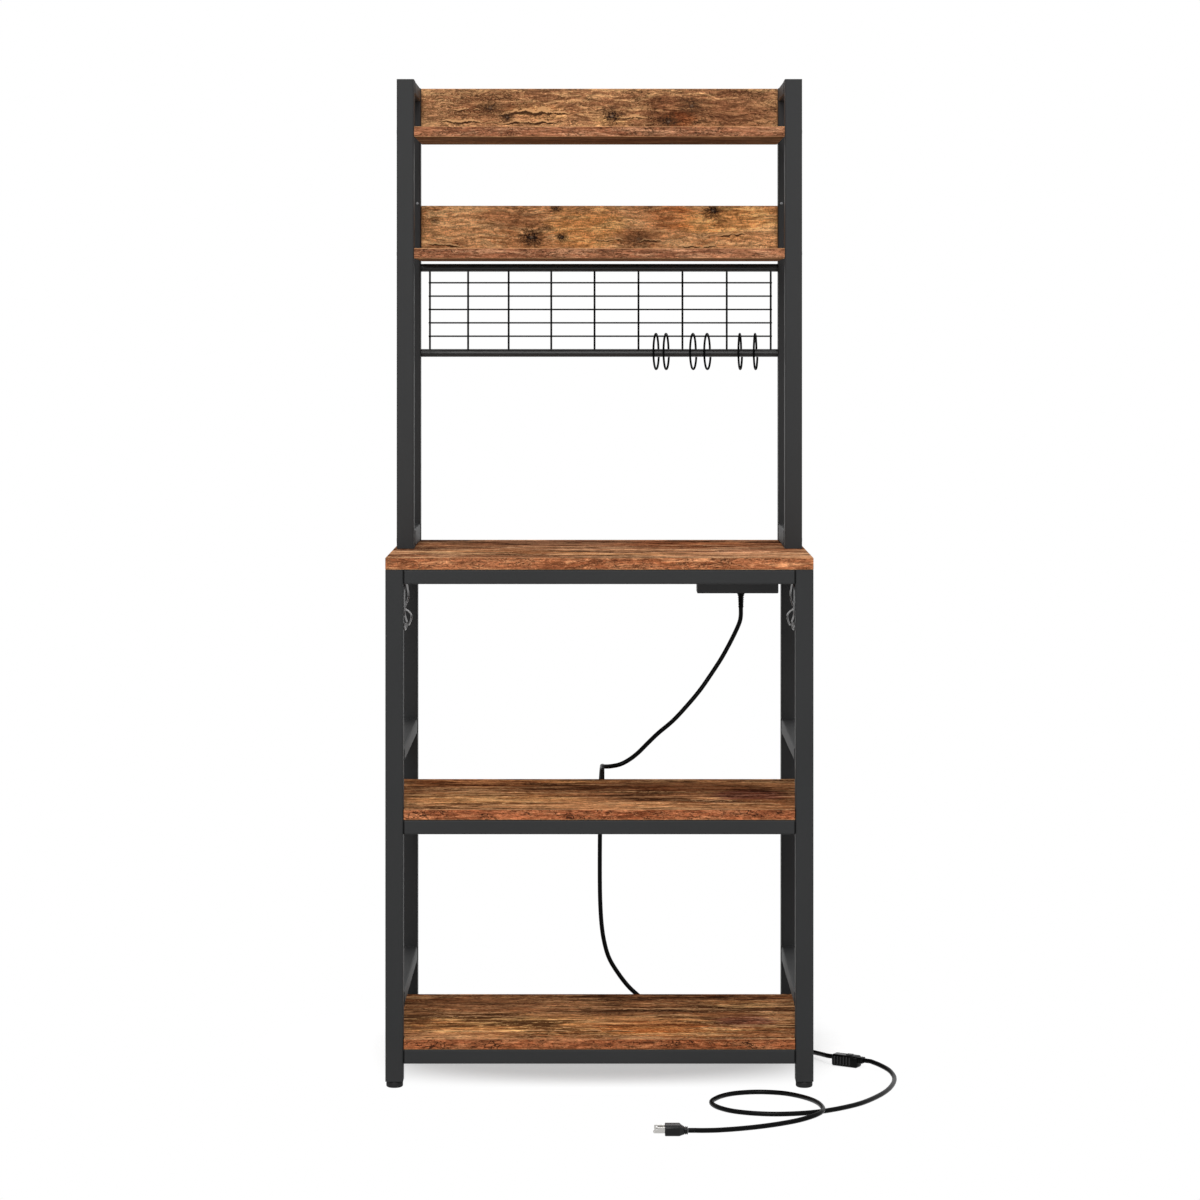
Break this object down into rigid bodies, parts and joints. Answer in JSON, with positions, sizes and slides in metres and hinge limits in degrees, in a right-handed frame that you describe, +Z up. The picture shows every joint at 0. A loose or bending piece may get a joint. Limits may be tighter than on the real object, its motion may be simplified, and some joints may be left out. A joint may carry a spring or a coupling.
{
  "type": "kitchen rack",
  "caption": "Free-standing square-tube kitchen rack with worktop, two shelves, shelved hutch with hook grid, and a powered socket block with cord and plug.",
  "frame": {"origin": "on the floor under the middle of the rack's footprint, without the cord", "axes": "+Z is up, +X is to the right seen from the front, and the front faces -Y"},
  "size_m": [0.7197, 0.6866, 1.428],
  "materials": {
    "frame_steel": "fine-textured charcoal powder coat",
    "black_wire": "satin black coat",
    "scroll_wire": "satin grey coat",
    "rustic_board": "rustic brown board print, low sheen",
    "foot_rubber": "matt black",
    "black_plastic": "fine-grained black",
    "face_plastic": "satin black",
    "cord_rubber": "smooth black",
    "nickel_contact": "bright nickel plate"
  },
  "bodies": {
    "rack": {"leg_front_left": "frame_steel", "leg_front_right": "frame_steel", "leg_rear_left": "frame_steel", "leg_rear_right": "frame_steel", "front_rail_top": "frame_steel", "rear_rail_top": "frame_steel", "side_rail_top_left": "frame_steel", "side_rail_top_right": "frame_steel", "front_rail_middle": "frame_steel", "rear_rail_middle": "frame_steel", "side_rail_middle_left": "frame_steel", "side_rail_middle_right": "frame_steel", "front_rail_bottom": "frame_steel", "rear_rail_bottom": "frame_steel", "side_rail_bottom_left": "frame_steel", "side_rail_bottom_right": "frame_steel", "guard_bar_middle_left": "frame_steel", "guard_bar_middle_right": "frame_steel", "guard_bar_bottom_left": "frame_steel", "guard_bar_bottom_right": "frame_steel", "side_scroll_left": "scroll_wire", "side_scroll_right": "scroll_wire", "worktop": "rustic_board", "middle_shelf": "rustic_board", "bottom_shelf": "rustic_board", "hutch_post_front_left": "frame_steel", "hutch_post_front_right": "frame_steel", "hutch_post_rear_left": "frame_steel", "hutch_post_rear_right": "frame_steel", "hutch_base_bar_left": "frame_steel", "hutch_base_bar_right": "frame_steel", "hutch_top_bar_left": "frame_steel", "hutch_top_bar_right": "frame_steel", "hutch_lower_shelf": "rustic_board", "hutch_lower_backboard": "rustic_board", "hutch_upper_shelf": "rustic_board", "hutch_upper_backboard": "rustic_board", "grid_bar_upper": "frame_steel", "grid_bar_lower": "frame_steel", "wire_grid": "black_wire", "power_block": "black_plastic", "power_face": "face_plastic", "cord_gland": "cord_rubber", "cord_clip": "black_plastic", "power_cord_upper": "cord_rubber", "power_cord_lower": "cord_rubber", "plug_body": "cord_rubber", "inline_box": "black_plastic", "plug_contacts": "nickel_contact"},
    "hook_1_body": {"hook_1": "black_wire"},
    "hook_2_body": {"hook_2": "black_wire"},
    "hook_3_body": {"hook_3": "black_wire"},
    "hook_4_body": {"hook_4": "black_wire"},
    "hook_5_body": {"hook_5": "black_wire"},
    "hook_6_body": {"hook_6": "black_wire"},
    "foot_front_left_body": {"foot_front_left": "foot_rubber"},
    "foot_front_right_body": {"foot_front_right": "foot_rubber"},
    "foot_rear_left_body": {"foot_rear_left": "foot_rubber"},
    "foot_rear_right_body": {"foot_rear_right": "foot_rubber"},
    "reset_button_body": {"reset_button": "face_plastic"}
  },
  "joints": [
    {"name": "hook_1_swing", "type": "hinge", "parent": "rack", "child": "hook_1_body", "pos_m": [0.08579, 0.1875, 1.0529], "axis": [-1, 0, 0], "range_deg": [0, 13]},
    {"name": "hook_2_swing", "type": "hinge", "parent": "rack", "child": "hook_2_body", "pos_m": [0.10103, 0.1875, 1.0529], "axis": [-1, 0, 0], "range_deg": [0, 13]},
    {"name": "hook_3_swing", "type": "hinge", "parent": "rack", "child": "hook_3_body", "pos_m": [0.14186, 0.1875, 1.0529], "axis": [-1, 0, 0], "range_deg": [0, 13]},
    {"name": "hook_4_swing", "type": "hinge", "parent": "rack", "child": "hook_4_body", "pos_m": [0.16331, 0.1875, 1.0529], "axis": [-1, 0, 0], "range_deg": [0, 13]},
    {"name": "hook_5_swing", "type": "hinge", "parent": "rack", "child": "hook_5_body", "pos_m": [0.21292, 0.1875, 1.0529], "axis": [-1, 0, 0], "range_deg": [0, 13]},
    {"name": "hook_6_swing", "type": "hinge", "parent": "rack", "child": "hook_6_body", "pos_m": [0.23618, 0.1875, 1.0529], "axis": [-1, 0, 0], "range_deg": [0, 13]},
    {"name": "foot_front_left_screw", "type": "slide", "parent": "rack", "child": "foot_front_left_body", "axis": [0, 0, -1], "range_m": [0, 0.008]},
    {"name": "foot_front_right_screw", "type": "slide", "parent": "rack", "child": "foot_front_right_body", "axis": [0, 0, -1], "range_m": [0, 0.008]},
    {"name": "foot_rear_left_screw", "type": "slide", "parent": "rack", "child": "foot_rear_left_body", "axis": [0, 0, -1], "range_m": [0, 0.008]},
    {"name": "foot_rear_right_screw", "type": "slide", "parent": "rack", "child": "foot_rear_right_body", "axis": [0, 0, -1], "range_m": [0, 0.008]},
    {"name": "reset_button_press", "type": "slide", "parent": "rack", "child": "reset_button_body", "axis": [0, 0, -1], "range_m": [0, 0.0012], "stiffness_N_per_m": 1000}
  ]
}
